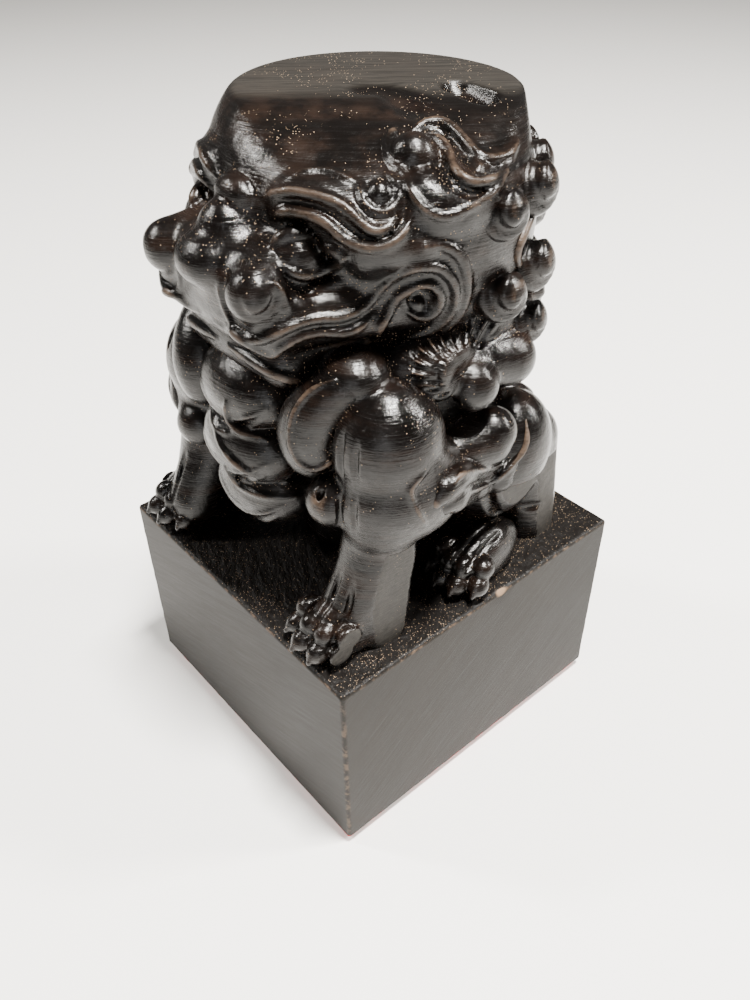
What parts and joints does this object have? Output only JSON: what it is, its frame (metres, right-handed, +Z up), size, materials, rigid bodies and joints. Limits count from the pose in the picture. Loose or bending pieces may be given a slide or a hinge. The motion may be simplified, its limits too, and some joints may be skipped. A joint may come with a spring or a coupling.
{
  "type": "seal stamp",
  "caption": "Hand seal stamp: squared block of dark wood with a raised fret printing face under it and a seated guardian lion carved on top as the grip.",
  "frame": {"origin": "middle of the printing face, where the seal rests on the table or the paper", "axes": "+Z up along the billet to the top of the lion's head, -Y the way the lion looks, +X the lion's left flank"},
  "size_m": [0.05, 0.0512, 0.092],
  "materials": {
    "carved_wood": "oiled and polished near-black wood, worn lighter on its ridges, with pale dust in its recesses",
    "sanded_wood": "sanded matte grey-brown faces of the same wood, with fine scratches",
    "seal_paste": "thin dried film of red seal paste"
  },
  "bodies": {
    "root": {"seal_block": "sanded_wood", "printing_relief": "sanded_wood", "seal_paste_film": "seal_paste", "torso": "carved_wood", "skull": "carved_wood", "rump": "carved_wood", "muzzle": "carved_wood", "lower_jaw": "carved_wood", "haunch_left": "carved_wood", "haunch_right": "carved_wood", "hind_paw_left": "carved_wood", "hind_paw_right": "carved_wood", "shoulder_left": "carved_wood", "shoulder_right": "carved_wood", "foreleg_left": "carved_wood", "foreleg_right": "carved_wood", "forepaw_left": "carved_wood", "forepaw_right": "carved_wood", "chest_bib": "carved_wood", "neck_lock_left": "carved_wood", "neck_lock_right": "carved_wood", "elbow_curl_left": "carved_wood", "elbow_curl_right": "carved_wood", "mane_curls_left": "carved_wood", "mane_curls_right": "carved_wood", "ear_left": "carved_wood", "ear_right": "carved_wood", "brow_left": "carved_wood", "brow_right": "carved_wood", "eye_left": "carved_wood", "eye_right": "carved_wood", "cheek_volute_left": "carved_wood", "cheek_volute_right": "carved_wood", "mane_back_left": "carved_wood", "mane_back_right": "carved_wood", "nape_curls": "carved_wood", "tail": "carved_wood", "tail_curls_left": "carved_wood", "tail_curls_right": "carved_wood", "nose": "carved_wood", "upper_lip": "carved_wood", "forehead_knob": "carved_wood"}
  },
  "joints": []
}
